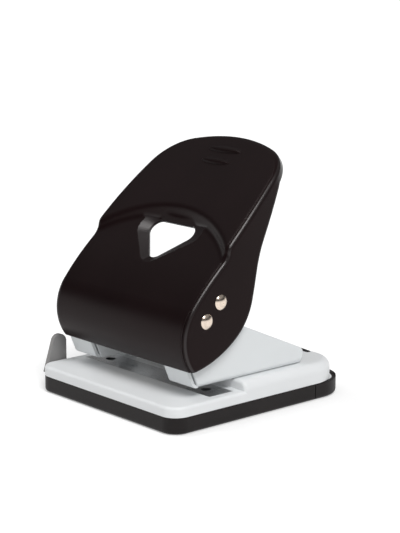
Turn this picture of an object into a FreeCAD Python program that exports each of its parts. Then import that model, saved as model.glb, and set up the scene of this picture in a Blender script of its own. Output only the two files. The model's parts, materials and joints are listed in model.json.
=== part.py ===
"""Heavy two-hole office punch, in millimetres.

X runs to the right, Y to the rear, Z up.  The origin is on the desk, under the middle of the base.
Depths named below are measured from the fold line, where the punch frame turns up at its front.
"""
import FreeCAD, Part
import os
import re

import Sketcher
from FreeCAD import Placement, Rotation, Vector

doc = FreeCAD.newDocument("HolePunch")

# ---------------------------------------------------------------- driving sizes
SIZES = {
    # base housing and chip tray
    "base_margin": 7.3,
    "base_reach": 20.0,
    "housing_rear": 102.0,
    "tray_rear": 107.0,
    "front_corner": 9.0,
    "rear_corner": 20.0,
    "tray_wall": 2.0,
    "tray_floor": 1.2,
    "tray_fit": 0.3,
    "tray_round": 1.8,
    "rim_height": 8.9,
    "ledge_drop": 0.9,
    "flap_split": 79.6,
    "split_gap": 0.6,
    "housing_wall": 2.6,
    "table_height": 14.4,
    "deck_height": 19.6,
    "stop_depth": 28.5,
    "deck_upright": 0.5,
    "stop_round": 1.8,
    "table_round": 1.6,
    # punch frame of bent sheet
    "frame_sheet": 1.8,
    "wall_beyond": 10.2,
    "tower_before": 10.2,
    "face_inset": 1.0,
    "face_tilt": 22.9,
    "face_height": 9.8,
    "face_slit": 0.8,
    "bend_round": 3.0,
    "wall_rear": 78.0,
    "tail_height": 7.8,
    "wall_slope": 24.0,
    "tail_round": 4.2,
    "cheek_rear": 24.0,
    "ear_radius": 9.2,
    "plate_notch": 31.0,
    # lever hinge and press axle
    "hinge_depth": 4.8,
    "hinge_height": 54.8,
    "press_arm": 12.8,
    "press_lead": 42.2,
    "lever_swing": 50.0,
    "axle_diameter": 6.0,
    "axle_play": 0.1,
    "axle_head": 8.2,
    "axle_dome": 1.8,
    "washer_diameter": 12.0,
    "washer_play": 0.1,
    # lever shell, in its own frame: reach along the grip, rise square to it
    "grip_angle": 40.0,
    "flange_gap": 2.6,
    "lever_sheet": 1.5,
    "nose_radius": 26.0,
    "nose_reach": 2.2,
    "nose_drop": 14.0,
    "nose_slope": 11.0,
    "skin_radius": 150.0,
    "skin_slope": 1.5,
    "crest_reach": 75.0,
    "crest_rise": 19.5,
    "crest_radius": 620.0,
    "taper_start": 30.0,
    "taper_end": 80.0,
    "side_bow": 275.0,
    "tip_bow": 95.0,
    "tip_reach": 107.0,
    "fold_round": 2.6,
    "brow_radius": 83.0,
    "brow_centre": -29.3,
    "brow_slope": 46.0,
    "brow_round": 5.2,
    "flange_low": 21.9,
    "flange_low_reach": 7.5,
    "flange_front_radius": 60.0,
    "flange_rear_radius": 34.0,
    "flange_steep": 38.0,
    "flange_steep_end": 40.5,
    "flange_back_radius": 57.6,
    "flange_gentle": 21.0,
    "tip_edge_rise": 14.0,
    "nose_slit": 0.6,
    "nose_slit_inset": 1.5,
    "window_top": 46.3,
    "window_foot": 22.4,
    "window_half": 17.2,
    "window_round": 5.4,
    "dish_top": 48.6,
    "dish_foot": 17.6,
    "dish_half": 24.6,
    "dish_round": 8.0,
    "dish_depth": 1.7,
    "rib_upper_reach": 95.3,
    "rib_lower_reach": 86.6,
    "rib_upper_half": 13.0,
    "rib_lower_half": 11.0,
    "rib_half_width": 2.1,
    "rib_rise": 1.3,
    # punches, dies and springs
    "hole_pitch": 80.0,
    "hole_margin": 12.0,
    "punch_diameter": 5.5,
    "punch_play": 0.05,
    "punch_set_back": 0.7,
    "punch_notch": 1.6,
    "head_diameter": 14.4,
    "head_below": 6.6,
    "head_above": 7.6,
    "slot_play": 0.5,
    "slot_end_play": 0.35,
    "bush_flange": 14.0,
    "bush_flange_thickness": 1.5,
    "bush_spigot": 9.0,
    "bush_collar": 8.4,
    "bush_collar_height": 4.0,
    "bush_fit": 0.02,
    "seat_diameter": 13.0,
    "seat_thickness": 0.8,
    "spring_diameter": 10.6,
    "spring_wire": 1.2,
    "spring_turns": 7.0,
    "die_side_margin": 5.5,
    "die_half_depth": 8.0,
    "die_thickness": 3.0,
    "die_fit": 0.1,
    "die_screw_half": 20.0,
    "screw_diameter": 3.0,
    "screw_head": 5.6,
    "screw_length": 7.0,
    "chip_hole": 8.0,
    # rivets of the frame, rest pad, side guide
    "rivet_inset": 2.0,
    "rivet_front": 38.0,
    "rivet_back": 70.0,
    "rivet_shank": 3.2,
    "rivet_head": 6.4,
    "rivet_head_height": 1.3,
    "pad_half": 36.0,
    "pad_front": 94.6,
    "pad_back": 97.0,
    "pad_height": 1.5,
    "pad_end_height": 0.3,
    "bar_depth": -8.0,
    "bar_half_depth": 4.0,
    "bar_height": 9.7,
    "bar_thickness": 1.8,
    "bar_end_gap": 1.2,
    "bar_play": 0.2,
    "catch_drop": 1.4,
    "stop_gap": 0.4,
    "stop_thickness": 3.0,
    "stop_front": -14.6,
    "stop_back": -0.5,
    "stop_foot": 8.4,
    "stop_top": 28.6,
    "stop_top_radius": 4.4,
    "strap_length": 9.0,
    "strap_inset": 2.0,
    "strap_sheet": 1.0,
}

sheet = doc.addObject("Spreadsheet::Sheet", "Sizes")
for row, (alias, value) in enumerate(SIZES.items(), start=1):
    sheet.set("A%d" % row, alias)
    sheet.set("B%d" % row, str(value))
    sheet.setAlias("B%d" % row, alias)
doc.recompute()

WORD = re.compile(r"[a-z][a-z_]*[a-z]")

# Widths that follow from the pitch of the holes, each from the piece inside it.
WIDTHS = {
    "base_half_width": "(wall_outside + base_margin)",
    "lever_half_width": "(wall_outside + flange_gap + lever_sheet)",
    "wall_outside": "(hole_pitch / 2 + wall_beyond)",
    "tower_inside": "(hole_pitch / 2 - tower_before)",
    "rivet_half": "(hole_pitch / 2 - rivet_inset)",
}

# Sizes worked out from the driving ones, used in more than one place.
FOLD_LINE = "((base_reach - tray_rear) / 2)"
PUNCH_DEPTH = "(stop_depth - hole_margin)"
PRESS_DEPTH = "(hinge_depth + press_arm * cos(press_lead))"
PRESS_HEIGHT = "(hinge_height + press_arm * sin(press_lead))"
PRESS_END_DEPTH = "(hinge_depth + press_arm)"
SHELF = "(hinge_height - press_arm * sin(lever_swing - press_lead) - axle_diameter / 2 - 6 * axle_play)"
HEAD_FOOT = "(%s - head_below)" % PRESS_HEIGHT
PLATE_TOP = "(deck_height + frame_sheet)"
SKIN_CENTRE_X = "(nose_reach + (skin_radius - nose_radius) * sin(nose_slope))"
SKIN_CENTRE_Y = "(-nose_drop - (skin_radius - nose_radius) * cos(nose_slope))"
SKIN_LEVEL = "(%s * cos(skin_slope) - %s * sin(skin_slope) + skin_radius)" % (SKIN_CENTRE_Y, SKIN_CENTRE_X)
HOLLOW_SIDE = "(base_half_width - tray_wall - tray_fit - housing_wall)"
BAR_END = "(%s - bar_end_gap)" % HOLLOW_SIDE
DIE_HALF = "(base_half_width - die_side_margin)"


def bound(expression):
    """The expression with its widths worked out and each size named through the sheet."""
    for name, total in WIDTHS.items():
        expression = re.sub(r"\b%s\b" % name, total, expression)
    return WORD.sub(lambda word: ("Sizes." if word.group(0) in SIZES else "") + word.group(0), expression)


def value(expression):
    """What an expression of the sizes comes to now."""
    return float(sheet.evalExpression(bound(expression)))


# ---------------------------------------------------------------- sketch helpers
def origin_plane(body, role):
    return [feature for feature in body.Origin.OriginFeatures if feature.Role == role][0]


def body_sketch(body, plane, lift=None):
    """A sketch on one of the body's own origin planes, lifted along its normal."""
    sketch = body.newObject("Sketcher::SketchObject", "Sketch")
    sketch.AttachmentSupport = (origin_plane(body, plane), [""])
    sketch.MapMode = "FlatFace"
    if lift is not None:
        sketch.setExpression("AttachmentOffset.Base.z", bound(lift))
    return sketch


def side_sketch(name):
    """A loose sketch in the plane of Y and Z, for extrusions along X."""
    sketch = doc.addObject("Sketcher::SketchObject", name)
    sketch.Placement = Placement(Vector(0, 0, 0), Rotation(Vector(1, 1, 1), 120))
    return sketch


def pin_point(sketch, edge, end, x, y):
    """Hold one end of an edge at named coordinates."""
    for kind, where in (("DistanceX", x), ("DistanceY", y)):
        index = sketch.addConstraint(Sketcher.Constraint(kind, -1, 1, edge, end, value(where)))
        sketch.setExpression("Constraints[%d]" % index, bound(where))


def loop(sketch, corners):
    """A closed loop.  A corner (x, y) ends a straight edge; (x, y, radius, turn) ends an arc.

    A turn of 1 bends to the left on the way round, and -1 to the right.
    """
    places = [Vector(value(corner[0]), value(corner[1]), 0) for corner in corners]
    ends = []
    for number, corner in enumerate(corners):
        start, finish = places[number - 1], places[number]
        if len(corner) == 2:
            edge = sketch.addGeometry(Part.LineSegment(start, finish))
            ends.append((edge, 1, 2))
            continue
        radius, turn = value(corner[2]), corner[3]
        chord = finish - start
        reach = (radius ** 2 - chord.Length ** 2 / 4) ** 0.5
        centre = (start + finish) * 0.5 + Vector(-chord.y, chord.x, 0).normalize() * reach * turn
        first, last = (start, finish) if turn > 0 else (finish, start)
        middle = centre - Vector(-chord.y, chord.x, 0).normalize() * radius * turn
        edge = sketch.addGeometry(Part.Arc(first, middle, last))
        ends.append((edge, 1, 2) if turn > 0 else (edge, 2, 1))
        index = sketch.addConstraint(Sketcher.Constraint("Radius", edge, radius))
        sketch.setExpression("Constraints[%d]" % index, bound(corner[2]))
    for number, corner in enumerate(corners):
        edge, _, finish = ends[number]
        following, start, _ = ends[(number + 1) % len(corners)]
        sketch.addConstraint(Sketcher.Constraint("Coincident", edge, finish, following, start))
        pin_point(sketch, edge, finish, corner[0], corner[1])


def box_loop(sketch, left, right, low, high):
    loop(sketch, [(right, low), (right, high), (left, high), (left, low)])


def rounded_loop(sketch, half, front, rear, front_round=None, rear_round=None):
    """A rectangle across the middle plane, with a round on its front or rear pair of corners."""
    corners = []
    if front_round:
        corners += [("%s - %s" % (half, front_round), front),
                    (half, "%s + %s" % (front, front_round), front_round, 1)]
    else:
        corners += [(half, front)]
    if rear_round:
        corners += [(half, "%s - %s" % (rear, rear_round)),
                    ("%s - %s" % (half, rear_round), rear, rear_round, 1),
                    ("%s - %s" % (rear_round, half), rear),
                    ("-" + half, "%s - %s" % (rear, rear_round), rear_round, 1)]
    else:
        corners += [(half, rear), ("-" + half, rear)]
    if front_round:
        corners += [("-" + half, "%s + %s" % (front, front_round)),
                    ("%s - %s" % (front_round, half), front, front_round, 1)]
    else:
        corners += [("-" + half, front)]
    loop(sketch, corners)


def ring(sketch, x, y, diameter):
    """A circle held by its centre and diameter."""
    centre = Vector(value(x), value(y), 0)
    edge = sketch.addGeometry(Part.Circle(centre, Vector(0, 0, 1), value(diameter) / 2))
    pin_point(sketch, edge, 3, x, y)
    index = sketch.addConstraint(Sketcher.Constraint("Diameter", edge, value(diameter)))
    sketch.setExpression("Constraints[%d]" % index, bound(diameter))


def upright_axis(sketch, x):
    """A construction line at x, up the sketch; its name serves as a turning axis."""
    place = value(x)
    edge = sketch.addGeometry(Part.LineSegment(Vector(place, 0, 0), Vector(place, 1, 0)), True)
    pin_point(sketch, edge, 1, x, "0")
    pin_point(sketch, edge, 2, x, "1")
    return "Axis0"


# ---------------------------------------------------------------- feature helpers
def settle(feature):
    """Bring the model up to date and stop at once if the feature failed."""
    doc.recompute()
    if "Invalid" in feature.State or feature.Shape.isNull():
        raise RuntimeError("%s of %s failed" % (feature.Name, feature.getParent().Label
                                                if feature.getParent() else "the lever"))
    return feature


def new_body(label, across="0", depth="0", height="0"):
    """A body at a place measured from the fold line."""
    body = doc.addObject("PartDesign::Body", label)
    body.Label = label
    body.setExpression("Placement.Base.x", bound(across))
    body.setExpression("Placement.Base.y", bound(FOLD_LINE + " + " + depth))
    body.setExpression("Placement.Base.z", bound(height))
    return body


def pad(body, sketch, length, both_ways=False, backward=False):
    feature = body.newObject("PartDesign::Pad", "Pad")
    feature.Profile = sketch
    feature.setExpression("Length", bound(length))
    feature.SideType = "Symmetric" if both_ways else "One side"
    feature.Reversed = backward
    return settle(feature)


def pocket(body, sketch, length, both_ways=False, backward=False):
    feature = body.newObject("PartDesign::Pocket", "Pocket")
    feature.Profile = sketch
    feature.setExpression("Length", bound(length))
    feature.SideType = "Symmetric" if both_ways else "One side"
    feature.Reversed = backward
    return settle(feature)


def revolve(body, sketch, axis):
    feature = body.newObject("PartDesign::Revolution", "Revolution")
    feature.Profile = sketch
    feature.ReferenceAxis = (sketch, [axis])
    feature.Angle = 360
    return settle(feature)


def mirrored(body, features, role="YZ_Plane"):
    feature = body.newObject("PartDesign::Mirrored", "Mirrored")
    feature.Originals = features
    feature.MirrorPlane = (origin_plane(body, role), [""])
    body.Tip = feature
    return settle(feature)


def edges_where(shape, test):
    """Names of the edges whose bounding box passes the test."""
    return ["Edge%d" % number for number, edge in enumerate(shape.Edges, start=1) if test(edge.BoundBox)]


def round_edges(body, radius, test):
    base = body.Tip
    names = edges_where(base.Shape, test)
    if not names:
        raise RuntimeError("no edge to round on " + body.Label)
    feature = body.newObject("PartDesign::Fillet", "Fillet")
    feature.Base = (base, names)
    feature.setExpression("Radius", bound(radius))
    return settle(feature)


def near(first, second):
    return abs(first - second) < 0.01


# ---------------------------------------------------------------- base
def make_base_housing():
    """Painted housing: punching table at the front, raised deck behind it, open underneath."""
    body = new_body("base_housing")
    inner = "(base_half_width - tray_wall - tray_fit)"
    skirt_front = "(tray_wall + tray_fit - base_reach)"
    skirt_rear = "(tray_rear - tray_wall - tray_fit)"

    skirt = body_sketch(body, "XY_Plane", "tray_floor + tray_fit")
    rounded_loop(skirt, inner, skirt_front, skirt_rear, "(front_corner - tray_wall - tray_fit)",
                 "(rear_corner - tray_wall - tray_fit)")
    pad(body, skirt, "rim_height - ledge_drop - tray_floor - tray_fit")
    core = body_sketch(body, "XY_Plane", "rim_height - ledge_drop")
    rounded_loop(core, inner, skirt_front, "housing_rear", "(front_corner - tray_wall - tray_fit)",
                 "rear_corner")
    pad(body, core, "ledge_drop")

    table = body_sketch(body, "XY_Plane", "rim_height")
    rounded_loop(table, "base_half_width", "-base_reach", "housing_rear", "front_corner", "rear_corner")
    pad(body, table, "table_height - rim_height")
    level = value("table_height")
    round_edges(body, "table_round", lambda box: near(box.ZMin, level) and near(box.ZMax, level))
    deck = body_sketch(body, "XY_Plane", "rim_height")
    rounded_loop(deck, "base_half_width", "stop_depth", "housing_rear", None, "rear_corner")
    pad(body, deck, "deck_height - rim_height")
    top, stop = value("deck_height"), value("stop_depth")
    round_edges(body, "deck_height - table_height - deck_upright",
                lambda box: near(box.ZMin, top) and near(box.ZMax, top) and box.YMax > stop + 1)
    round_edges(body, "stop_round", lambda box: near(box.YMin, stop) and near(box.YMax, stop)
                and near(box.ZMax, top) and near(box.ZMin, top))

    hollow_front = "(%s + housing_wall)" % skirt_front
    hollow_rear = "(housing_rear - housing_wall)"
    die_floor = "(table_height - die_thickness - 0.7 * housing_wall)"
    cavities = (
        (hollow_front, hollow_rear, die_floor),
        (hollow_front, PUNCH_DEPTH + " - die_half_depth - 2 * housing_wall", "table_height - housing_wall"),
        ("stop_depth + housing_wall", hollow_rear, "deck_height - housing_wall"),
    )
    for front, rear, ceiling in cavities:
        cavity = body_sketch(body, "XY_Plane")
        rounded_loop(cavity, HOLLOW_SIDE, front, rear, None,
                     "(rear_corner - housing_wall)" if rear == hollow_rear else None)
        pocket(body, cavity, ceiling, backward=True)

    boss = body_sketch(body, "XY_Plane", die_floor + " - 3")
    for side in ("-", ""):
        ring(boss, side + "die_screw_half", PUNCH_DEPTH, "2.4 * screw_diameter")
    pad(body, boss, "3.1")
    seat = body_sketch(body, "XY_Plane", "table_height")
    box_loop(seat, "-(%s + die_fit)" % DIE_HALF, "%s + die_fit" % DIE_HALF,
             PUNCH_DEPTH + " - die_half_depth - die_fit", PUNCH_DEPTH + " + die_half_depth + die_fit")
    pocket(body, seat, "die_thickness")
    chips = body_sketch(body, "XY_Plane", "table_height")
    for side in ("-", ""):
        ring(chips, side + "hole_pitch / 2", PUNCH_DEPTH, "chip_hole")
        ring(chips, side + "die_screw_half", PUNCH_DEPTH, "screw_diameter + 2 * bush_fit")
    pocket(body, chips, "table_height")
    rivets = body_sketch(body, "XY_Plane", "deck_height")
    for side in ("-", ""):
        for depth in ("rivet_front", "rivet_back"):
            ring(rivets, side + "rivet_half", depth, "rivet_shank + 2 * bush_fit")
    pocket(body, rivets, "1.5 * housing_wall")
    gate = body_sketch(body, "YZ_Plane", "-(base_half_width + 1)")
    box_loop(gate, "bar_depth - bar_half_depth - bar_play", "bar_depth + bar_half_depth + bar_play",
             "bar_height - bar_play", "bar_height + bar_thickness + bar_play")
    pocket(body, gate, "base_half_width + 2 - " + HOLLOW_SIDE, backward=True)
    return body


def make_chip_tray():
    """Front length of the soft black tray that catches the chips and keeps the punch from sliding."""
    body = new_body("chip_tray")
    rear = "(flap_split - split_gap / 2)"
    outline = body_sketch(body, "XY_Plane")
    rounded_loop(outline, "base_half_width", "-base_reach", rear, "front_corner")
    pad(body, outline, "rim_height")
    split = value(rear)
    round_edges(body, "tray_round", lambda box: near(box.ZMax, 0) and box.YMin < split - 1)
    inside = body_sketch(body, "XY_Plane", "tray_floor")
    rounded_loop(inside, "(base_half_width - tray_wall)", "(tray_wall - base_reach)", rear + " + 1",
                 "(front_corner - tray_wall)")
    pocket(body, inside, "rim_height", backward=True)


def make_chip_flap():
    """Rear length of the tray: it folds down on a thin web in the floor to let the chips out."""
    body = new_body("chip_flap")
    front = "(flap_split + split_gap / 2)"
    outline = body_sketch(body, "XY_Plane")
    rounded_loop(outline, "base_half_width", front, "tray_rear", None, "rear_corner")
    pad(body, outline, "rim_height")
    split = value(front)
    round_edges(body, "tray_round", lambda box: near(box.ZMax, 0) and box.YMax > split + 1)
    inside = body_sketch(body, "XY_Plane", "tray_floor")
    rounded_loop(inside, "(base_half_width - tray_wall)", "(%s - 1)" % front, "(tray_rear - tray_wall)",
                 None, "(rear_corner - tray_wall)")
    pocket(body, inside, "rim_height", backward=True)
    lowered = body_sketch(body, "YZ_Plane")
    box_loop(lowered, front + " - 1", "housing_rear + tray_fit", "rim_height - tray_fit", "rim_height + 1")
    pocket(body, lowered, "3 * base_half_width", both_ways=True)


def make_die_plate():
    """Hardened strip with the two dies, let into the table."""
    body = new_body("die_plate", height="table_height - die_thickness")
    outline = body_sketch(body, "XY_Plane")
    box_loop(outline, "-" + DIE_HALF, DIE_HALF,
             PUNCH_DEPTH + " - die_half_depth", PUNCH_DEPTH + " + die_half_depth")
    pad(body, outline, "die_thickness")
    dies = body_sketch(body, "XY_Plane")
    for side in ("-", ""):
        ring(dies, side + "hole_pitch / 2", PUNCH_DEPTH, "punch_diameter + 2 * punch_play")
        ring(dies, side + "die_screw_half", PUNCH_DEPTH, "screw_diameter + 2 * bush_fit")
    pocket(body, dies, "die_thickness", backward=True)
    sinks = body_sketch(body, "XZ_Plane", "-" + PUNCH_DEPTH)
    loop(sinks, [
        ("die_screw_half", "die_thickness - screw_head / 2 - bush_fit"),
        ("die_screw_half + screw_head / 2 + bush_fit", "die_thickness"),
        ("die_screw_half", "die_thickness"),
    ])
    groove = body.newObject("PartDesign::Groove", "Groove")
    groove.Profile = sinks
    groove.ReferenceAxis = (sinks, [upright_axis(sinks, "die_screw_half")])
    groove.Angle = 360
    doc.recompute()
    mirrored(body, [groove])


def make_die_screws():
    """The two countersunk screws of the die plate."""
    body = new_body("die_screws", depth=PUNCH_DEPTH, height="table_height")
    shape = body_sketch(body, "XZ_Plane")
    loop(shape, [
        ("die_screw_half", "-screw_length"),
        ("die_screw_half + screw_diameter / 2", "-screw_length"),
        ("die_screw_half + screw_diameter / 2", "(screw_diameter - screw_head) / 2"),
        ("die_screw_half + screw_head / 2", "0"),
        ("die_screw_half", "0"),
    ])
    screw = revolve(body, shape, upright_axis(shape, "die_screw_half"))
    drive = body_sketch(body, "XY_Plane")
    box_loop(drive, "die_screw_half - 0.35 * screw_head", "die_screw_half + 0.35 * screw_head",
             "-0.08 * screw_head", "0.08 * screw_head")
    slot = pocket(body, drive, "0.2 * screw_head")
    mirrored(body, [screw, slot])


# ---------------------------------------------------------------- punch frame
def wall_outline(rear_part):
    """Side view of a wall of the frame: leaning front edge, ear round the hinge, shelf and tail."""
    span = "sqrt(hinge_depth^2 + (hinge_height - deck_height)^2)"
    lean = "(asin(ear_radius / %s) - atan(hinge_depth / (hinge_height - deck_height)))" % span
    reach = "sqrt(hinge_depth^2 + (hinge_height - deck_height)^2 - ear_radius^2)"
    slit = "((frame_sheet + face_slit) / cos(face_tilt))"
    crossing = "(%s / (tan(face_tilt) - tan(%s)))" % (slit, lean)
    start = [
        (slit, "deck_height"),
        ("-%s * tan(%s)" % (crossing, lean), "deck_height + " + crossing),
        ("-%s * sin(%s)" % (reach, lean), "deck_height + %s * cos(%s)" % (reach, lean)),
        ("hinge_depth", "hinge_height + ear_radius", "ear_radius", -1),
        ("hinge_depth + sqrt(ear_radius^2 - (hinge_height - %s)^2)" % SHELF, SHELF, "ear_radius", -1),
    ]
    return start + rear_part


def make_punch_frame():
    """One bent sheet: a sole on the deck, two tall side walls, two inner cheeks and two front faces."""
    body = new_body("punch_frame")
    slope_start = "(wall_rear - (%s - deck_height - tail_height) / tan(wall_slope))" % SHELF
    walls = body_sketch(body, "YZ_Plane")
    loop(walls, wall_outline([
        (slope_start, SHELF),
        ("wall_rear", "deck_height + tail_height"),
        ("wall_rear - 0.35 * tail_height", "deck_height"),
    ]))
    pad(body, walls, "2 * wall_outside", both_ways=True)
    rear, tail = value("wall_rear"), value("deck_height + tail_height")
    round_edges(body, "tail_round", lambda box: near(box.YMin, rear) and near(box.YMax, rear)
                and near(box.ZMin, tail))
    side, sole = value("wall_outside"), value("deck_height")
    round_edges(body, "bend_round", lambda box: near(abs(box.XMin), side) and near(box.XMin, box.XMax)
                and near(box.ZMin, sole) and near(box.ZMax, sole))
    channel = body_sketch(body, "XY_Plane", PLATE_TOP)
    box_loop(channel, "frame_sheet - wall_outside", "wall_outside - frame_sheet", "-base_reach", "tray_rear")
    pocket(body, channel, "hinge_height", backward=True)
    notch = body_sketch(body, "XY_Plane", PLATE_TOP)
    box_loop(notch, "-tower_inside", "tower_inside", "-base_reach", "plate_notch")
    pocket(body, notch, "2 * frame_sheet")

    cheek = body_sketch(body, "YZ_Plane", "tower_inside")
    loop(cheek, wall_outline([("cheek_rear", SHELF), ("cheek_rear", "deck_height")]))
    cheek_pad = pad(body, cheek, "frame_sheet")
    face = body_sketch(body, "YZ_Plane", "tower_inside + face_inset")
    start = "(bend_round * tan((90 - face_tilt) / 2))"
    joint = "((frame_sheet + face_slit) / cos(face_tilt) + 0.5)"
    inner_bend = "(bend_round - frame_sheet)"
    top = "(deck_height + face_height)"
    loop(face, [
        (joint, "deck_height"),
        (start, "deck_height"),
        (start + " - bend_round * cos(face_tilt)", "deck_height + bend_round * (1 - sin(face_tilt))",
         "bend_round", -1),
        ("-face_height * tan(face_tilt)", top),
        ("frame_sheet * cos(face_tilt) - face_height * tan(face_tilt)",
         top + " + frame_sheet * sin(face_tilt)"),
        ("%s - %s * cos(face_tilt)" % (start, inner_bend),
         "deck_height + bend_round - %s * sin(face_tilt)" % inner_bend),
        (start, PLATE_TOP, inner_bend, 1),
        (joint, PLATE_TOP),
    ])
    face_pad = pad(body, face, "wall_outside - tower_inside - 2 * face_inset")
    mirrored(body, [cheek_pad, face_pad])

    pivot = body_sketch(body, "YZ_Plane")
    ring(pivot, "hinge_depth", "hinge_height", "axle_diameter + 2 * axle_play")
    pocket(body, pivot, "3 * wall_outside", both_ways=True)
    seats = body_sketch(body, "XY_Plane", PLATE_TOP)
    for side in ("-", ""):
        ring(seats, side + "hole_pitch / 2", PUNCH_DEPTH, "bush_spigot + 2 * bush_fit")
        for depth in ("rivet_front", "rivet_back"):
            ring(seats, side + "rivet_half", depth, "rivet_shank + 2 * bush_fit")
    pocket(body, seats, "2 * frame_sheet")


def make_guide_bush(label, side):
    """Turned bush that guides a punch through the sole of the frame."""
    body = new_body(label, side + "hole_pitch / 2", PUNCH_DEPTH, "deck_height")
    shape = body_sketch(body, "XZ_Plane")
    bore = "punch_diameter / 2 + punch_play"
    loop(shape, [
        ("bush_spigot / 2", "0"),
        ("bush_spigot / 2", "frame_sheet"),
        ("bush_flange / 2", "frame_sheet"),
        ("bush_flange / 2", "frame_sheet + bush_flange_thickness"),
        ("bush_collar / 2", "frame_sheet + bush_flange_thickness"),
        ("bush_collar / 2", "frame_sheet + bush_flange_thickness + bush_collar_height"),
        (bore, "frame_sheet + bush_flange_thickness + bush_collar_height"),
        (bore, "0"),
    ])
    revolve(body, shape, "V_Axis")


def make_frame_rivets():
    """Four domed rivets that hold the frame down on the deck."""
    body = new_body("frame_rivets", height=PLATE_TOP)
    body.AllowCompound = True
    grown = []
    for depth in ("rivet_front", "rivet_back"):
        shape = body_sketch(body, "YZ_Plane", "rivet_half")
        foot = "-(frame_sheet + housing_wall)"
        dome = "((rivet_head^2 / 4 + rivet_head_height^2) / (2 * rivet_head_height))"
        loop(shape, [
            (depth, foot + " - 1"),
            (depth + " + 0.75 * rivet_shank", foot + " - 1"),
            (depth + " + 0.75 * rivet_shank", foot),
            (depth + " + rivet_shank / 2", foot),
            (depth + " + rivet_shank / 2", "0"),
            (depth + " + rivet_head / 2", "0"),
            (depth, "rivet_head_height", dome, 1),
        ])
        grown.append(revolve(body, shape, upright_axis(shape, depth)))
    mirrored(body, grown)


def make_rest_pad():
    """Soft strip along the rear of the deck, low at its ends; the lever never touches it."""
    body = new_body("rest_pad", height="deck_height")
    crown = "(pad_height - pad_end_height)"
    outline = body_sketch(body, "XZ_Plane", "-pad_back")
    loop(outline, [
        ("pad_half", "0"),
        ("pad_half", "pad_end_height"),
        ("-pad_half", "pad_end_height", "(pad_half^2 + %s^2) / (2 * %s)" % (crown, crown), 1),
        ("-pad_half", "0"),
    ])
    pad(body, outline, "pad_back - pad_front")


# ---------------------------------------------------------------- side guide
def make_guide_bar():
    """Flat steel bar that draws out to the left, with a catch bent down at its inner end."""
    body = new_body("guide_bar", depth="bar_depth", height="bar_height")
    outline = body_sketch(body, "XY_Plane")
    box_loop(outline, "-(base_half_width + stop_gap + stop_thickness / 2)", BAR_END,
             "-bar_half_depth", "bar_half_depth")
    pad(body, outline, "bar_thickness")
    catch = body_sketch(body, "XY_Plane")
    box_loop(catch, BAR_END + " - bar_thickness", BAR_END, "-0.75 * bar_half_depth", "0.75 * bar_half_depth")
    pad(body, catch, "catch_drop", backward=True)


def make_guide_stop():
    """Plastic tab on the end of the bar: the edge of the paper rests against it."""
    body = new_body("guide_stop", across="-(base_half_width + stop_gap)")
    centre = "(stop_top - stop_top_radius)"
    across = "(stop_back - stop_top_radius - stop_front)"
    rise = "(%s - stop_foot)" % centre
    lean = "(atan(%s / %s) - asin(stop_top_radius / sqrt(%s^2 + %s^2)))" % (across, rise, across, rise)
    reach = "sqrt(%s^2 + %s^2 - stop_top_radius^2)" % (across, rise)
    outline = body_sketch(body, "YZ_Plane")
    loop(outline, [
        ("stop_front", "stop_foot"),
        ("stop_front + %s * sin(%s)" % (reach, lean), "stop_foot + %s * cos(%s)" % (reach, lean)),
        ("stop_back", centre, "stop_top_radius", -1),
        ("stop_back", "stop_foot"),
    ])
    pad(body, outline, "stop_thickness", backward=True)
    face = -value("stop_thickness")
    round_edges(body, "stop_thickness / 5", lambda box: near(box.XMin, face) and near(box.XMax, face))
    socket = body_sketch(body, "YZ_Plane")
    box_loop(socket, "bar_depth - bar_half_depth - bush_fit", "bar_depth + bar_half_depth + bush_fit",
             "bar_height - bush_fit", "bar_height + bar_thickness + bush_fit")
    pocket(body, socket, "stop_thickness / 2 + bush_fit")


def make_guide_strap():
    """Bent strap that carries the bar under the table and stops its catch."""
    left = "-(%s - strap_inset)" % HOLLOW_SIDE
    body = new_body("guide_strap", across=left, depth="bar_depth", height="bar_height - bar_play")
    side = "(bar_half_depth + bar_play)"
    ceiling = "(table_height - housing_wall - bar_height + bar_play)"
    outline = body_sketch(body, "YZ_Plane")
    loop(outline, [
        ("-%s - strap_sheet" % side, "-strap_sheet"),
        ("-%s - strap_sheet" % side, ceiling),
        ("-" + side, ceiling),
        ("-" + side, "0"),
        (side, "0"),
        (side, ceiling),
        (side + " + strap_sheet", ceiling),
        (side + " + strap_sheet", "-strap_sheet"),
    ])
    pad(body, outline, "strap_length")


# ---------------------------------------------------------------- lever
def extruded(name, sketch, length, both_ways=False):
    """A sketch drawn out square to its own plane."""
    solid = doc.addObject("Part::Extrusion", name)
    solid.Base = sketch
    solid.DirMode = "Normal"
    solid.Solid = True
    solid.setExpression("LengthFwd", bound(length))
    solid.Symmetric = both_ways
    return solid


def boolean(kind, name, first, second):
    solid = doc.addObject("Part::" + kind, name)
    solid.Base = first
    solid.Tool = second
    doc.recompute()
    return solid


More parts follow.
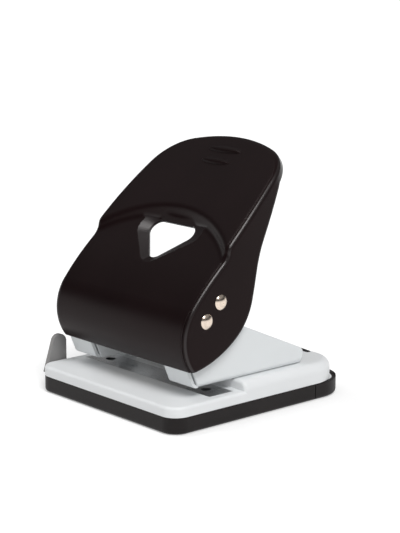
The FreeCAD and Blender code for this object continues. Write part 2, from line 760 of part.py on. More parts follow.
def plan_sketch(name, inset):
    """The lever from above: straight sides, a taper and two shoulders, all tangent, to a bowed tip."""
    turn = "asin((taper_end - taper_start) / side_bow)"
    across = "(lever_half_width - side_bow * (1 - cos(%s)))" % turn
    along = "(taper_end - tip_reach + tip_bow)"
    toward = "(%s * cos(%s) + %s * sin(%s))" % (across, turn, along, turn)
    shoulder = "((tip_bow^2 - %s^2 - %s^2) / (2 * (tip_bow - %s)))" % (across, along, toward)
    sweep = "asin((%s - %s * cos(%s)) / (tip_bow - %s))" % (across, shoulder, turn, shoulder)
    side_x = "(%s - %s * cos(%s))" % (across, inset, turn)
    side_y = "taper_end - %s * sin(%s)" % (inset, turn)
    tip_x = "((tip_bow - %s) * sin(%s))" % (inset, sweep)
    tip_y = "tip_reach - tip_bow + (tip_bow - %s) * cos(%s)" % (inset, sweep)
    half = "(lever_half_width - %s)" % inset
    sketch = doc.addObject("Sketcher::SketchObject", name)
    loop(sketch, [
        (half, "-tip_reach"),
        (half, "taper_start"),
        (side_x, side_y, "side_bow - " + inset, 1),
        (tip_x, tip_y, "%s - %s" % (shoulder, inset), 1),
        ("-" + tip_x, tip_y, "tip_bow - " + inset, 1),
        ("-" + side_x, side_y, "%s - %s" % (shoulder, inset), 1),
        ("-" + half, "taper_start", "side_bow - " + inset, 1),
        ("-" + half, "-tip_reach"),
    ])
    return sketch


def rounded(name, solid, radius, test):
    """The solid with the edges that pass the test rounded to one radius."""
    fillet = doc.addObject("Part::Fillet", name)
    fillet.Base = solid
    size = value(radius)
    fillet.Edges = [(number, size, size) for number, edge in enumerate(solid.Shape.Edges, start=1)
                    if test(edge)]
    return settle(fillet)


def lies_on(edge, test):
    """Whether points spread along the edge all pass the test."""
    return all(test(point) for point in edge.discretize(9))


def lever_form(name, inset):
    """The pressed form, drawn in by an inset: a low front skin and a raised grip behind a round brow."""
    foot = "-2 * flange_low"
    radius = "(nose_radius - %s)" % inset
    skin = "(skin_radius - %s)" % inset
    nose_x = "(nose_reach - %s)" % radius
    fold_x = "(nose_reach - %s * sin(nose_slope))" % radius
    fold_y = "(%s * cos(nose_slope) - nose_drop)" % radius
    flat_x = "(%s - %s * sin(skin_slope))" % (SKIN_CENTRE_X, skin)
    flat_y = "(%s + %s * cos(skin_slope))" % (SKIN_CENTRE_Y, skin)
    end = "(brow_radius + brow_centre + brow_round)"
    front = side_sketch(name + "_front_profile")
    loop(front, [
        (nose_x, foot),
        (nose_x, "-nose_drop"),
        (fold_x, fold_y, radius, -1),
        (flat_x, flat_y, skin, -1),
        (end, "%s + (%s - %s) * tan(skin_slope)" % (flat_y, end, flat_x)),
        (end, foot),
    ])
    crest = "(crest_radius - %s)" % inset
    begin = "(taper_start / 2)"
    grip = side_sketch(name + "_grip_profile")
    rise = "crest_rise - crest_radius + sqrt(%s^2 - (%s - crest_reach)^2)"
    loop(grip, [
        (begin, foot),
        (begin, rise % (crest, begin)),
        ("tip_reach + 5", rise % (crest, "(tip_reach + 5)"), crest, -1),
        ("tip_reach + 5", foot),
    ])
    width = "2 * (lever_half_width + 1)"
    front_block = extruded(name + "_front_block", front, width, True)
    grip_block = extruded(name + "_grip_block", grip, width, True)

    brow = doc.addObject("Part::Cone", name + "_brow")
    drift = "(%s / sin(brow_slope))" % inset
    brow.setExpression("Radius2", bound("brow_radius + flange_low / tan(brow_slope) + " + drift))
    brow.setExpression("Radius1", bound("brow_radius - flange_low / tan(brow_slope) + " + drift))
    brow.setExpression("Height", bound("2 * flange_low"))
    brow.setExpression("Placement.Base.y", bound("brow_centre"))
    brow.setExpression("Placement.Base.z", bound("crest_rise - flange_low"))
    doc.recompute()
    raised = boolean("Cut", name + "_grip", grip_block, brow)
    blank = boolean("Fuse", name + "_blank", front_block, raised)

    slant = value("tan(brow_slope)")
    centre, base = value("brow_centre"), value("brow_radius + %s - crest_rise / tan(brow_slope)" % drift)

    def on_brow(point):
        return abs((point.x ** 2 + (point.y - centre) ** 2) ** 0.5 - base - point.z / slant) < 0.01

    height = value("(crest_rise - %s + %s) / 2" % (inset, flat_y))
    wide = value("lever_half_width")
    blank = rounded(name + "_brow_top", blank, "brow_round - " + inset,
                    lambda edge: lies_on(edge, on_brow) and edge.BoundBox.XLength > wide
                    and edge.BoundBox.ZMax > height)
    blank = rounded(name + "_brow_foot", blank, "brow_round + " + inset,
                    lambda edge: lies_on(edge, on_brow) and edge.BoundBox.XLength > wide
                    and edge.BoundBox.ZMax < height)
    return blank, brow


def is_upright_wall(face):
    """A face of the plan's outline: flat across X, or bowed about an upright axis."""
    surface = face.Surface
    if isinstance(surface, Part.Plane):
        return near(abs(surface.Axis.x), 1)
    return isinstance(surface, Part.Cylinder) and near(abs(surface.Axis.z), 1)


def folded(name, blank, inset):
    """The form cut to the plan of the lever, with one soft fold all round its top."""
    plan = plan_sketch(name + "_plan", inset)
    plan.setExpression("Placement.Base.z", bound("-2 * flange_low - 1"))
    column = extruded(name + "_column", plan, "4 * flange_low")
    doc.recompute()
    cut = boolean("Common", name + "_cut", blank, column)
    floor = value("fold_round - 2 * flange_low")

    def on_fold(edge):
        walls = [is_upright_wall(face) for face in cut.Shape.ancestorsOfType(edge, Part.Face)]
        return walls.count(True) == 1 and edge.BoundBox.ZMax > floor

    return rounded(name + "_folds", cut, "fold_round - " + inset, on_fold)


def window_sketch(name, half, top, foot, corner, level):
    """A triangle with three equal rounds, its point towards the nose, level with the flat of the skin."""
    side, head, toe = "(%s - %s)" % (half, corner), "(%s - %s)" % (top, corner), "(%s + %s)" % (foot, corner)
    length = "sqrt(%s^2 + (%s - %s)^2)" % (side, head, toe)
    out = "(%s * (%s - %s) / %s)" % (corner, head, toe, length)
    down = "(%s * %s / %s)" % (corner, side, length)
    sketch = doc.addObject("Sketcher::SketchObject", name)
    sketch.Placement = Placement(Vector(0, 0, 0), Rotation(Vector(1, 0, 0), value("skin_slope")))
    sketch.setExpression("Placement.Rotation.Angle", bound("skin_slope"))
    sketch.setExpression("Placement.Base.y", bound("-(%s) * sin(skin_slope)" % level))
    sketch.setExpression("Placement.Base.z", bound("(%s) * cos(skin_slope)" % level))
    loop(sketch, [
        (out, "%s - %s" % (toe, down), corner, 1),
        ("%s + %s" % (side, out), "%s - %s" % (head, down)),
        (side, top, corner, 1),
        ("-" + side, top),
        ("-%s - %s" % (side, out), "%s - %s" % (head, down), corner, 1),
        ("-" + out, "%s - %s" % (toe, down)),
    ])
    return sketch


def dished(name, form, brow, inset):
    """The form with a funnel pressed in round the window; its upper wall is the brow's own, drawn down."""
    grow = "%s * tan(atan(dish_depth / (window_foot - dish_foot)) / 2)" % inset
    level = "%s - %s" % (SKIN_LEVEL, inset)
    floor = window_sketch(name + "_dish_floor", "(window_half + %s)" % grow, "(window_top + %s)" % grow,
                          "(window_foot - %s)" % grow, "(window_round + %s)" % grow, level + " - dish_depth")
    brim = window_sketch(name + "_dish_brim", "(2 * dish_half - window_half + %s)" % grow,
                         "(2 * dish_top - window_top + %s)" % grow,
                         "(2 * dish_foot - window_foot - %s)" % grow,
                         "(2 * dish_round - window_round + %s)" % grow, level + " + dish_depth")
    funnel = doc.addObject("Part::Loft", name + "_funnel")
    funnel.Sections = [floor, brim]
    funnel.Solid = True
    funnel.Ruled = True
    mouth = extruded(name + "_mouth", brim, "flange_low")
    doc.recompute()
    cutter = boolean("Common", name + "_dish", boolean("Fuse", name + "_open_funnel", funnel, mouth), brow)
    return boolean("Cut", name + "_dished", form, cutter)


def cross_pin(name, reach, rise, diameter):
    """A cylinder across the whole lever."""
    pin = doc.addObject("Part::Cylinder", name)
    pin.Placement = Placement(Vector(0, 0, 0), Rotation(Vector(0, 1, 0), 90))
    pin.setExpression("Placement.Base.x", bound("-2 * lever_half_width"))
    pin.setExpression("Placement.Base.y", bound(reach))
    pin.setExpression("Placement.Base.z", bound(rise))
    pin.setExpression("Radius", bound("(%s) / 2" % diameter))
    pin.setExpression("Height", bound("4 * lever_half_width"))
    return pin


def make_lever_shell():
    """The pressed and folded lever, drawn level and then tipped up about the hinge."""
    forms = []
    for name, inset in (("outer", "0 * lever_sheet"), ("inner", "lever_sheet")):
        blank, brow = lever_form(name, inset)
        forms.append(dished(name, folded(name, blank, inset), brow, inset))
    outer, inner = forms

    for name, reach, half in (("rib_lower", "rib_lower_reach", "rib_lower_half"),
                              ("rib_upper", "rib_upper_reach", "rib_upper_half")):
        rib = doc.addObject("Part::Ellipsoid", name)
        rib.setExpression("Radius1", bound("rib_rise"))
        rib.setExpression("Radius2", bound(half))
        rib.setExpression("Radius3", bound("rib_half_width"))
        rib.setExpression("Placement.Base.y", bound(reach))
        level = "crest_rise - crest_radius + sqrt(crest_radius^2 - (%s - crest_reach)^2)" % reach
        rib.setExpression("Placement.Base.z", bound(level))
        doc.recompute()
        outer = boolean("Fuse", name + "_raised", outer, rib)
    shell = boolean("Cut", "shell", outer, inner)

    steep_x = "(flange_low_reach + flange_rear_radius * sin(flange_steep))"
    steep_y = "(flange_rear_radius * (1 - cos(flange_steep)) - flange_low)"
    bend_y = "(%s + (flange_steep_end - %s) * tan(flange_steep))" % (steep_y, steep_x)
    gentle_x = "(flange_steep_end + flange_back_radius * (sin(flange_steep) - sin(flange_gentle)))"
    gentle_y = "(%s + flange_back_radius * (cos(flange_gentle) - cos(flange_steep)))" % bend_y
    front_x = "(-1.3 * nose_radius)"
    front_y = ("(flange_front_radius - flange_low - sqrt(flange_front_radius^2 - (%s - flange_low_reach)^2))"
               % front_x)
    edge = side_sketch("free_edge")
    loop(edge, [
        ("-tip_reach", "-4 * flange_low"),
        ("tip_reach + 10", "-4 * flange_low"),
        ("tip_reach + 10", "tip_edge_rise"),
        ("%s + (tip_edge_rise - %s) / tan(flange_gentle)" % (gentle_x, gentle_y), "tip_edge_rise"),
        (gentle_x, gentle_y),
        ("flange_steep_end", bend_y, "flange_back_radius", 1),
        (steep_x, steep_y),
        ("flange_low_reach", "-flange_low", "flange_rear_radius", -1),
        (front_x, front_y, "flange_front_radius", -1),
        ("-tip_reach", front_y),
    ])
    waste = extruded("waste", edge, "4 * lever_half_width", True)
    doc.recompute()
    shell = boolean("Cut", "trimmed", shell, waste)

    hole = window_sketch("window", "window_half", "window_top", "window_foot", "window_round",
                         SKIN_LEVEL + " - dish_depth")
    hole = extruded("window_hole", hole, "2 * flange_low", True)
    doc.recompute()
    shell = boolean("Cut", "windowed", shell, hole)

    slit = side_sketch("nose_slit_profile")
    far = "(nose_reach - nose_radius - 1)"
    loop(slit, [
        (far, "-2 * flange_low"),
        (far, "nose_radius"),
        ("nose_reach - nose_radius * sin(nose_slope)", "nose_radius"),
        ("nose_reach - (nose_radius - lever_sheet) * sin(nose_slope)",
         "(nose_radius - lever_sheet) * cos(nose_slope) - nose_drop"),
        ("nose_reach - nose_radius + lever_sheet", "-nose_drop", "nose_radius - lever_sheet", 1),
        ("nose_reach - nose_radius + lever_sheet", "-2 * flange_low"),
    ])
    for name, side in (("slit_left", "-(lever_half_width - nose_slit_inset)"),
                       ("slit_right", "(lever_half_width - nose_slit_inset - nose_slit)")):
        cutter = extruded(name, slit, "nose_slit")
        cutter.setExpression("Placement.Base.x", bound(side))
        doc.recompute()
        shell = boolean("Cut", name + "_cut", shell, cutter)

    hinge = cross_pin("hinge_bore", "0", "0", "axle_diameter + 2 * bush_fit")
    press = cross_pin("press_bore", "press_arm * cos(press_lead - grip_angle)",
                      "press_arm * sin(press_lead - grip_angle)", "axle_diameter + 2 * bush_fit")
    doc.recompute()
    bores = boolean("Fuse", "bores", hinge, press)
    lever = boolean("Cut", "lever_shell", shell, bores)
    lever.Placement = Placement(Vector(0, 0, 0), Rotation(Vector(1, 0, 0), value("grip_angle")))
    lever.setExpression("Placement.Base.y", bound(FOLD_LINE + " + hinge_depth"))
    lever.setExpression("Placement.Base.z", bound("hinge_height"))
    lever.setExpression("Placement.Rotation.Angle", bound("grip_angle"))
    doc.recompute()


def make_axle(label, depth, height):
    """Plain axle through both flanges of the lever, with a domed head at each end."""
    body = new_body(label, depth=depth, height=height)
    shape = body_sketch(body, "XY_Plane")
    dome = "((axle_head^2 / 4 + axle_dome^2) / (2 * axle_dome))"
    end = "(lever_half_width + axle_dome)"
    loop(shape, [
        ("-" + end, "0"),
        ("-lever_half_width", "axle_head / 2", dome, -1),
        ("-lever_half_width", "axle_diameter / 2"),
        ("lever_half_width", "axle_diameter / 2"),
        ("lever_half_width", "axle_head / 2"),
        (end, "0", dome, -1),
    ])
    revolve(body, shape, "H_Axis")


def make_hinge_washers():
    """A washer each side, between a wall of the frame and a flange of the lever."""
    body = new_body("hinge_washers", depth="hinge_depth", height="hinge_height")
    body.AllowCompound = True
    shape = body_sketch(body, "XY_Plane")
    box_loop(shape, "wall_outside", "lever_half_width - lever_sheet - washer_play",
             "axle_diameter / 2 + axle_play", "washer_diameter / 2")
    mirrored(body, [revolve(body, shape, "H_Axis")])


# ---------------------------------------------------------------- punches
def make_punch(label, side):
    """Hardened punch: shank with a hollow-ground tip, and a round head slotted for the press axle."""
    body = new_body(label, side + "hole_pitch / 2", PUNCH_DEPTH)
    tip = "(deck_height + punch_set_back)"
    shape = body_sketch(body, "XZ_Plane")
    loop(shape, [
        ("0", tip),
        ("punch_diameter / 2", tip),
        ("punch_diameter / 2", HEAD_FOOT),
        ("head_diameter / 2", HEAD_FOOT),
        ("head_diameter / 2", PRESS_HEIGHT + " + head_above"),
        ("0", PRESS_HEIGHT + " + head_above"),
    ])
    revolve(body, shape, "V_Axis")
    top = value(PRESS_HEIGHT + " + head_above")
    round_edges(body, "0.8", lambda box: near(box.ZMin, top) and near(box.ZMax, top))
    slot = body_sketch(body, "YZ_Plane")
    box_loop(slot, "%s - %s - axle_diameter / 2 - slot_end_play" % (PRESS_DEPTH, PUNCH_DEPTH),
             "%s - %s + axle_diameter / 2 + slot_end_play" % (PRESS_END_DEPTH, PUNCH_DEPTH),
             "%s - axle_diameter / 2 - slot_play" % PRESS_HEIGHT,
             "%s + axle_diameter / 2 + slot_play" % PRESS_HEIGHT)
    pocket(body, slot, "2 * head_diameter", both_ways=True)
    notch = body_sketch(body, "YZ_Plane")
    loop(notch, [
        ("-punch_diameter / 2 + 0.3", tip + " - 1"),
        ("-punch_diameter / 2 + 0.3", tip),
        ("0", tip + " + punch_notch"),
        ("punch_diameter / 2 - 0.3", tip),
        ("punch_diameter / 2 - 0.3", tip + " - 1"),
    ])
    pocket(body, notch, "2 * punch_diameter", both_ways=True)


def make_spring_seat(label, side):
    """Thin washer between a punch head and its spring."""
    body = new_body(label, side + "hole_pitch / 2", PUNCH_DEPTH, HEAD_FOOT + " - seat_thickness")
    shape = body_sketch(body, "XZ_Plane")
    box_loop(shape, "punch_diameter / 2 + punch_play", "seat_diameter / 2", "0", "seat_thickness")
    revolve(body, shape, "V_Axis")


def make_spring(label, side):
    """Compression spring that lifts a punch and, through it, the lever."""
    foot = PLATE_TOP + " + bush_flange_thickness"
    body = new_body(label, side + "hole_pitch / 2", PUNCH_DEPTH, foot)
    wire = body_sketch(body, "XZ_Plane")
    ring(wire, "(spring_diameter - spring_wire) / 2 + spring_wire / 4", "spring_wire / 2", "spring_wire")
    coil = body.newObject("PartDesign::AdditiveHelix", "Coil")
    coil.Profile = wire
    coil.ReferenceAxis = (wire, ["V_Axis"])
    coil.Mode = "height-turns-angle"
    coil.setExpression("Height", bound("%s - seat_thickness - %s - bush_flange_thickness - spring_wire"
                                       % (HEAD_FOOT, PLATE_TOP)))
    coil.setExpression("Turns", bound("spring_turns"))
    coil.Angle = 0
    doc.recompute()


# ---------------------------------------------------------------- build and write
make_base_housing()
make_chip_tray()
make_chip_flap()
make_die_plate()
make_die_screws()
make_punch_frame()
make_frame_rivets()
make_rest_pad()
make_guide_bar()
make_guide_stop()
make_guide_strap()
make_lever_shell()
make_axle("hinge_axle", "hinge_depth", "hinge_height")
make_axle("press_axle", PRESS_DEPTH, PRESS_HEIGHT)
make_hinge_washers()
for place, mark in (("left", "-"), ("right", "")):
    make_guide_bush(place + "_guide_bush", mark)
    make_punch(place + "_punch", mark)
    make_spring_seat(place + "_spring_seat", mark)
    make_spring(place + "_spring", mark)

PIECES = [
    "base_housing", "chip_tray", "chip_flap", "die_plate", "die_screws", "punch_frame", "frame_rivets",
    "rest_pad", "guide_bar", "guide_stop", "guide_strap", "lever_shell", "hinge_axle", "press_axle",
    "hinge_washers", "left_guide_bush", "right_guide_bush", "left_punch", "right_punch",
    "left_spring_seat", "right_spring_seat", "left_spring", "right_spring",
]

doc.recompute()
for item in doc.Objects:
    if "Invalid" in item.State or "Error" in item.State:
        raise RuntimeError("%s did not build: %s" % (item.Name, item.State))
os.makedirs("parts", exist_ok=True)
for piece in PIECES:
    shape = doc.getObject(piece).Shape
    if shape.isNull() or not shape.isValid():
        raise RuntimeError(piece + " is not a sound solid")
    shape.exportStep("parts/%s.step" % piece)
    print(piece, len(shape.Solids), "%.0f mm3" % shape.Volume, [round(v, 1) for v in (
        shape.BoundBox.XMin, shape.BoundBox.XMax, shape.BoundBox.YMin - value(FOLD_LINE),
        shape.BoundBox.YMax - value(FOLD_LINE), shape.BoundBox.ZMin, shape.BoundBox.ZMax)])
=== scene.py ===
"""Looks of a heavy two-hole office punch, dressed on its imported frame."""
import json
import math

import bpy
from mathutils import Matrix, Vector


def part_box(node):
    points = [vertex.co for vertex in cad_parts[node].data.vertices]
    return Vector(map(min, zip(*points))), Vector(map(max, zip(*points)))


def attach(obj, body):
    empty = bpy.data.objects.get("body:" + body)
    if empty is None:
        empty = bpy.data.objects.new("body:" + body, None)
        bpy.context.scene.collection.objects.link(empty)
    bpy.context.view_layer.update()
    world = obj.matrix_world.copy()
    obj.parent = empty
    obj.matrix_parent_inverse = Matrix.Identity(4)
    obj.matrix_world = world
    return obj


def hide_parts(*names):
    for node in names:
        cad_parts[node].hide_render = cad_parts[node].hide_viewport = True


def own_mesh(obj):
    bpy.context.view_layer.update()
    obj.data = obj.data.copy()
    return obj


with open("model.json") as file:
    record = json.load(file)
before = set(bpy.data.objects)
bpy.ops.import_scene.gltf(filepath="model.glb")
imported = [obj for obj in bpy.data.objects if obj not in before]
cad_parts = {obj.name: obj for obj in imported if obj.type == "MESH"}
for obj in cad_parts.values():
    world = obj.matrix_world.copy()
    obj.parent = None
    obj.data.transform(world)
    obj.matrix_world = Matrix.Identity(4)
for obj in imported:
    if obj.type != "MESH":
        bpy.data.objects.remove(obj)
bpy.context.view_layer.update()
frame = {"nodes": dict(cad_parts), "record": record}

NODES = frame["nodes"]

# Where each effect begins and where it is full. Noise runs from 0 to 1, a facing is a part of the surface's
# normal, places are metres, and heights of the sky are the upward part of a look.
PATCHES = (0.3, 0.7)
HANDLED_PATCHES = (0.35, 0.7)
WEAR_TURN = (0.03, 0.2)
WEAR_PATCHES = (0.35, 0.65)
FOLD_START = (0.45, 0.68)
FOLD_END = (0.9, 0.995)
DISH_SLOPE = (0.08, 0.17)
DISH_SIDE = (0.025, 0.027)
DISH_TOP = (0.094, 0.098)
SKY_DARKENS = (0.08, 0.26)
SKY_LIGHTENS = (0.34, 0.62)

# Brightness of the surroundings, where 1 is white.
SKY_GLOW = 0.46
SKY_LOW = 1.0
SKY_BAND = 0.05
SKY_OVERHEAD = 0.30
FLOOR_GLOW = 0.30

# The floor in metres: its side, and how far it lies under the punch.
FLOOR_SIDE = 60.0
FLOOR_DROP = 0.0002

# Radii in metres by which shading rounds an edge.
WORN_EDGE = 0.0005
LEVER_EDGE = 0.0017
LEVER_SLOPE = 0.0012
PAINTED_EDGE = 0.0004
MOULDED_EDGE = 0.0005
METAL_EDGE = 0.0003

PLASTIC_IOR = 1.46
PAINT_IOR = 1.5

# Colours, here and in the finishes, are linear light.
WHITE = (1.0, 1.0, 1.0)
BLACK = (0.0, 0.0, 0.0)

# How grain is stretched: not at all, in lines ground along x, or in lines turned round x or z.
EVEN = (1.0, 1.0, 1.0)
ALONG_X = (1.0, 30.0, 30.0)
ROUND_X = (25.0, 1.0, 1.0)
ROUND_Z = (1.0, 1.0, 25.0)


# ---------------------------------------------------------------- shader writing
class Wire:
    """A shader socket that can be written in sums."""

    def __init__(self, graph, socket):
        self.graph = graph
        self.socket = socket

    def _math(self, operation, *values):
        return self.graph.node("ShaderNodeMath", {"operation": operation}, *values)

    def __add__(self, other):
        return self._math("ADD", self, other)

    def __radd__(self, other):
        return self._math("ADD", other, self)

    def __sub__(self, other):
        return self._math("SUBTRACT", self, other)

    def __rsub__(self, other):
        return self._math("SUBTRACT", other, self)

    def __mul__(self, other):
        return self._math("MULTIPLY", self, other)

    def __rmul__(self, other):
        return self._math("MULTIPLY", other, self)

    def clamped(self):
        return self.graph.node("ShaderNodeClamp", {}, self)

    def between(self, low, high):
        """0 below low, 1 above high, smooth in between."""
        return self.graph.node(
            "ShaderNodeMapRange", {"interpolation_type": "SMOOTHSTEP"}, self, low, high, 0.0, 1.0)


class Shading:
    """The shader graph of a material or of the world."""

    def __init__(self, owner, output_kind):
        self.owner = owner
        owner.use_nodes = True
        self.tree = owner.node_tree
        self.tree.nodes.clear()
        self.output = self.tree.nodes.new(output_kind)

    def node(self, kind, settings, *values, out=0, **named):
        """Adds a node: its settings first, then its sockets by order or by name; returns one output."""
        node = self.tree.nodes.new(kind)
        for key, value in settings.items():
            setattr(node, key, value)
        for index, value in enumerate(values):
            self._feed(node.inputs[index], value)
        for key, value in named.items():
            self._feed(node.inputs[key.replace("_", " ")], value)
        return Wire(self, node.outputs[out])

    def _feed(self, socket, value):
        if isinstance(value, Wire):
            self.tree.links.new(value.socket, socket)
        elif isinstance(value, tuple) and socket.type == "RGBA":
            socket.default_value = (*value, 1.0)
        else:
            socket.default_value = value

    def place(self, stretch=EVEN):
        """Where on the piece: metres in the frame's axes, stretched."""
        spot = self.node("ShaderNodeTexCoord", {}, out="Object")
        return self.node("ShaderNodeVectorMath", {"operation": "MULTIPLY"}, spot, stretch)

    def noise(self, scale, detail=2.0, rough=0.5, stretch=EVEN):
        """Grain with scale spots to the metre."""
        return self.node("ShaderNodeTexNoise", {}, Vector=self.place(stretch), Scale=scale, Detail=detail,
                         Roughness=rough)

    def mix(self, amount, first, second):
        """Colour between first and second."""
        mixer = self.node("ShaderNodeMix", {"data_type": "RGBA"}, amount).socket.node
        for plug, value in zip([plug for plug in mixer.inputs if plug.type == "RGBA"], (first, second)):
            self._feed(plug, value)
        return Wire(self, next(plug for plug in mixer.outputs if plug.type == "RGBA"))

    def softened(self, radius):
        """The way the surface faces, with its edges rounded by radius."""
        return self.node("ShaderNodeBevel", {"samples": 8}, Radius=radius)

    def bump(self, height, strength, depth, soften):
        """Fine relief, over edges that catch the light as if rounded by the radius soften."""
        return self.node("ShaderNodeBump", {}, Strength=strength, Distance=depth, Height=height,
                         Normal=self.softened(soften), out="Normal")

    def finish(self, shader):
        """Joins the last shader to the output and returns the owner."""
        self.tree.links.new(shader.socket, self.output.inputs["Surface"])
        return self.owner

    def principled(self, **sockets):
        """Ends the graph with a principled shader and returns the owner."""
        return self.finish(self.node("ShaderNodeBsdfPrincipled", {}, **sockets))


def material(name):
    return Shading(bpy.data.materials.new(name), "ShaderNodeOutputMaterial")


def edge_wear(shading, strength):
    """Up to strength along sharp edges, broken up by grain."""
    faces = shading.node("ShaderNodeNewGeometry", {}, out="Normal")
    turn = 1.0 - shading.node("ShaderNodeVectorMath", {"operation": "DOT_PRODUCT"}, faces,
                              shading.softened(WORN_EDGE), out="Value")
    patches = shading.noise(900.0, detail=3.0).between(*WEAR_PATCHES)
    return (turn.between(*WEAR_TURN) * patches * strength).clamped()


def rubbed(shading, strength):
    """Up to strength where hands rub the sheet smooth: its side folds and the slopes of the dish."""
    def sideways(vector):
        across = shading.node("ShaderNodeSeparateXYZ", {}, vector, out="X")
        return shading.node("ShaderNodeMath", {"operation": "ABSOLUTE"}, across)

    spot = shading.place()
    height = shading.node("ShaderNodeSeparateXYZ", {}, spot, out="Z")
    tilt = sideways(shading.softened(LEVER_SLOPE))
    folds = tilt.between(*FOLD_START) - tilt.between(*FOLD_END)
    near_dish = (1.0 - sideways(spot).between(*DISH_SIDE)) * (1.0 - height.between(*DISH_TOP))
    dish = tilt.between(*DISH_SLOPE) * near_dish
    return ((folds + dish).clamped() * strength).clamped()


# ---------------------------------------------------------------- finishes
def lever_paint():
    """Satin black with a reddish cast, and a faint orange peel."""
    shading = material("lever_paint")
    cloud = shading.noise(20.0, detail=3.0)
    peel = shading.noise(1700.0, rough=0.55)
    handled = shading.noise(11.0, detail=4.0, rough=0.6)
    base = shading.mix(cloud.between(*PATCHES), (0.0060, 0.0024, 0.0027), (0.0076, 0.0032, 0.0036))
    return shading.principled(
        Base_Color=shading.mix(edge_wear(shading, 0.3), base, (0.045, 0.040, 0.038)),
        Roughness=0.29 + 0.06 * handled.between(*HANDLED_PATCHES) + 0.04 * peel,
        IOR=PAINT_IOR,
        Specular_IOR_Level=0.12,
        Specular_Tint=(1.0, 0.84, 0.82),
        Coat_Weight=rubbed(shading, 0.75),
        Coat_Roughness=0.3,
        Normal=shading.bump(peel, strength=0.12, depth=0.00004, soften=LEVER_EDGE),
    )


def painted(name, light, dark, rough, grain_scale, grain_depth, wear):
    """Pale paint on metal, clouded between two tones and darker along worn edges."""
    shading = material(name)
    cloud = shading.noise(16.0, detail=3.0)
    grain = shading.noise(grain_scale)
    base = shading.mix(cloud.between(*PATCHES), dark, light)
    return shading.principled(
        Base_Color=shading.mix(edge_wear(shading, wear), base, tuple(0.6 * part for part in dark)),
        Roughness=rough + 0.05 * cloud.between(*PATCHES) + 0.03 * grain,
        IOR=PAINT_IOR,
        Normal=shading.bump(grain, strength=0.12, depth=grain_depth, soften=PAINTED_EDGE),
    )


def moulded(name, light, dark, rough, grain_scale, grain_depth):
    """Plastic or rubber with the pebbled grain of its mould."""
    shading = material(name)
    cloud = shading.noise(30.0, detail=3.0)
    grain = shading.node("ShaderNodeTexVoronoi", {}, Vector=shading.place(), Scale=grain_scale)
    return shading.principled(
        Base_Color=shading.mix(cloud.between(*PATCHES), dark, light),
        Roughness=rough + 0.08 * cloud + 0.05 * grain,
        IOR=PLASTIC_IOR,
        Specular_IOR_Level=0.26,
        Normal=shading.bump(grain, strength=0.2, depth=grain_depth, soften=MOULDED_EDGE),
    )


def metal(name, tint, rough, stretch, scale, depth=0.00002):
    """Bare metal with fine lines."""
    shading = material(name)
    lines = shading.noise(scale, detail=3.0, rough=0.6, stretch=stretch)
    cloud = shading.noise(40.0, detail=3.0)
    return shading.principled(
        Base_Color=shading.mix(lines.between(*PATCHES), tuple(0.82 * part for part in tint), tint),
        Metallic=1.0,
        Roughness=rough + 0.1 * lines.between(*PATCHES) + 0.06 * cloud,
        Normal=shading.bump(lines, strength=0.3, depth=depth, soften=METAL_EDGE),
    )


FINISHES = {
    "lever_shell": lever_paint(),
    "base_housing": painted(
        "housing_paint", light=(0.80, 0.815, 0.825), dark=(0.78, 0.795, 0.805), rough=0.40,
        grain_scale=1100.0, grain_depth=0.00003, wear=0.12),
    "punch_frame": painted(
        "frame_paint", light=(0.75, 0.775, 0.785), dark=(0.73, 0.755, 0.765), rough=0.42,
        grain_scale=1000.0, grain_depth=0.00002, wear=0.2),
    "chip_tray": moulded(
        "tray_plastic", light=(0.0115, 0.0086, 0.0086), dark=(0.0078, 0.0056, 0.0056), rough=0.42,
        grain_scale=1300.0, grain_depth=0.00005),
    "rest_pad": moulded(
        "pad_rubber", light=(0.018, 0.017, 0.016), dark=(0.012, 0.011, 0.011), rough=0.6,
        grain_scale=1600.0, grain_depth=0.00006),
    "guide_stop": moulded(
        "stop_plastic", light=(0.27, 0.265, 0.262), dark=(0.245, 0.24, 0.238), rough=0.42,
        grain_scale=1300.0, grain_depth=0.00004),
    "hinge_washers": moulded(
        "washer_plastic", light=(0.62, 0.61, 0.57), dark=(0.56, 0.55, 0.51), rough=0.4,
        grain_scale=1500.0, grain_depth=0.00003),
    "die_plate": metal("ground_steel", (0.60, 0.60, 0.61), rough=0.22, stretch=ALONG_X, scale=160.0),
    "guide_bar": metal("bar_steel", (0.58, 0.58, 0.59), rough=0.24, stretch=ALONG_X, scale=160.0),
    "die_screws": metal("screw_steel", (0.50, 0.51, 0.53), rough=0.28, stretch=EVEN, scale=900.0),
    "hinge_axle": metal(
        "bright_nickel", (0.84, 0.71, 0.60), rough=0.10, stretch=ROUND_X, scale=120.0, depth=0.000008),
    "left_guide_bush": metal("bush_steel", (0.45, 0.45, 0.46), rough=0.25, stretch=ROUND_Z, scale=140.0),
    "left_punch": metal("punch_steel", (0.55, 0.55, 0.57), rough=0.20, stretch=ROUND_Z, scale=140.0),
    "left_spring": metal("spring_steel", (0.42, 0.42, 0.43), rough=0.26, stretch=EVEN, scale=700.0),
}
SAME_FINISH = {
    "chip_flap": "chip_tray",
    "guide_strap": "guide_bar",
    "frame_rivets": "hinge_axle",
    "press_axle": "hinge_axle",
    "right_guide_bush": "left_guide_bush",
    "right_punch": "left_punch",
    "left_spring_seat": "die_screws",
    "right_spring_seat": "die_screws",
    "right_spring": "left_spring",
}
for name, piece in NODES.items():
    looks = FINISHES[SAME_FINISH.get(name, name)]
    if not piece.material_slots:
        piece.data.materials.append(looks)
    for slot in piece.material_slots:
        slot.material = looks


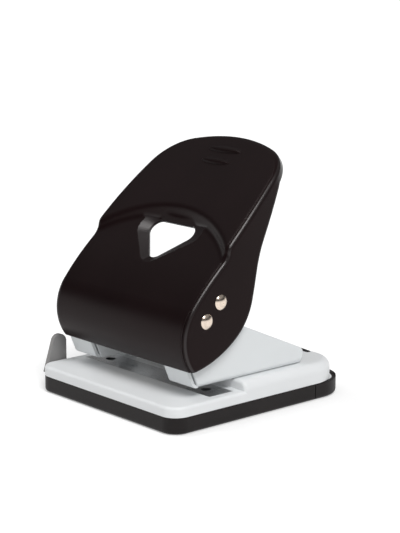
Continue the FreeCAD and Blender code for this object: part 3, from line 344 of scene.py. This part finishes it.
# ---------------------------------------------------------------- springs, copied onto the base
def make_spring(side):
    """A spring with the turns of the solid one, hung on the base in its place while the solid one is
    hidden.
    """
    name = side + "_spring"
    spring = bpy.data.objects.new(side + "_coil", NODES[name].data.copy())
    bpy.context.scene.collection.objects.link(spring)
    low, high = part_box(name)
    slide = next(joint for joint in frame["record"]["behaviour"]["joints"]
                 if joint["name"] == side + "_punch_slide")
    length = high.z - low.z
    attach(spring, "base")
    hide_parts(name)
    1 - slide["range_m"][1] / length
    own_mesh(spring)


for side in ("left", "right"):
    make_spring(side)


# ---------------------------------------------------------------- floor, light and camera
def seen_share(shading):
    """1 where a ray comes from the camera, a mirror or clear glass."""
    first, *others = [shading.node("ShaderNodeLightPath", {}, out=kind)
                      for kind in ("Is Camera Ray", "Is Glossy Ray", "Is Transmission Ray")]
    for other in others:
        first = first + other
    return first.clamped()


def make_floor():
    """A pale sheet just under the punch, bright enough to run into the sky where it is seen."""
    bpy.ops.mesh.primitive_plane_add(size=FLOOR_SIDE, location=(0, 0, -FLOOR_DROP))
    floor = bpy.context.object
    floor.name = "floor"
    shading = material("floor_paper")
    cloud = shading.noise(3.0)
    floor.data.materials.append(shading.principled(
        Base_Color=shading.mix(cloud, (0.80, 0.80, 0.80), (0.81, 0.81, 0.81)),
        Roughness=0.9,
        Specular_IOR_Level=0.1,
        Emission_Color=shading.mix(seen_share(shading), BLACK, (FLOOR_GLOW, FLOOR_GLOW, FLOOR_GLOW)),
        Emission_Strength=1.0,
    ))


def make_world():
    """An even glow. Where it is seen it is white round the horizon, dark above that and dim overhead."""
    world = bpy.data.worlds.new("studio")
    bpy.context.scene.world = world
    shading = Shading(world, "ShaderNodeOutputWorld")

    def sky(strength):
        return shading.node("ShaderNodeBackground", {}, Color=WHITE, Strength=strength)

    def blend(amount, first, second):
        return shading.node("ShaderNodeMixShader", {}, amount, first, second)

    way = shading.node("ShaderNodeTexCoord", {}, out="Generated")
    height = shading.node("ShaderNodeSeparateXYZ", {}, way, out="Z")
    above = blend(height.between(*SKY_LIGHTENS), sky(SKY_BAND), sky(SKY_OVERHEAD))
    seen = blend(height.between(*SKY_DARKENS), sky(SKY_LOW), above)
    shading.finish(blend(seen_share(shading), sky(SKY_GLOW), seen))


def make_sun(name, away, strength, width):
    """A lamp that shines from the direction away, width degrees across."""
    data = bpy.data.lights.new(name, "SUN")
    data.energy = strength
    data.angle = math.radians(width)
    lamp = bpy.data.objects.new(name, data)
    bpy.context.scene.collection.objects.link(lamp)
    lamp.rotation_euler = Vector(away).to_track_quat("Z", "Y").to_euler()


def make_camera(azimuth, elevation, distance, target, lens):
    """Looks at target from azimuth degrees to the right of the front and elevation degrees up."""
    data = bpy.data.cameras.new("camera")
    data.lens = lens
    data.sensor_width = 36.0
    data.clip_end = 100.0
    camera = bpy.data.objects.new("camera", data)
    bpy.context.scene.collection.objects.link(camera)
    turn, rise = math.radians(azimuth), math.radians(elevation)
    away = Vector((math.sin(turn) * math.cos(rise), -math.cos(turn) * math.cos(rise), math.sin(rise)))
    camera.location = Vector(target) + distance * away
    camera.rotation_euler = away.to_track_quat("Z", "Y").to_euler()
    bpy.context.scene.camera = camera


make_floor()
make_world()
make_sun("key", away=(0.55, -0.22, 0.80), strength=1.8, width=26.0)
make_sun("fill", away=(-0.40, -0.27, 0.87), strength=0.4, width=14.0)
make_camera(azimuth=48.87, elevation=11.95, distance=0.884, target=(0.0, 0.004, 0.0687), lens=110.1)
bpy.context.scene.view_settings.view_transform = "Standard"

bpy.context.view_layer.update()
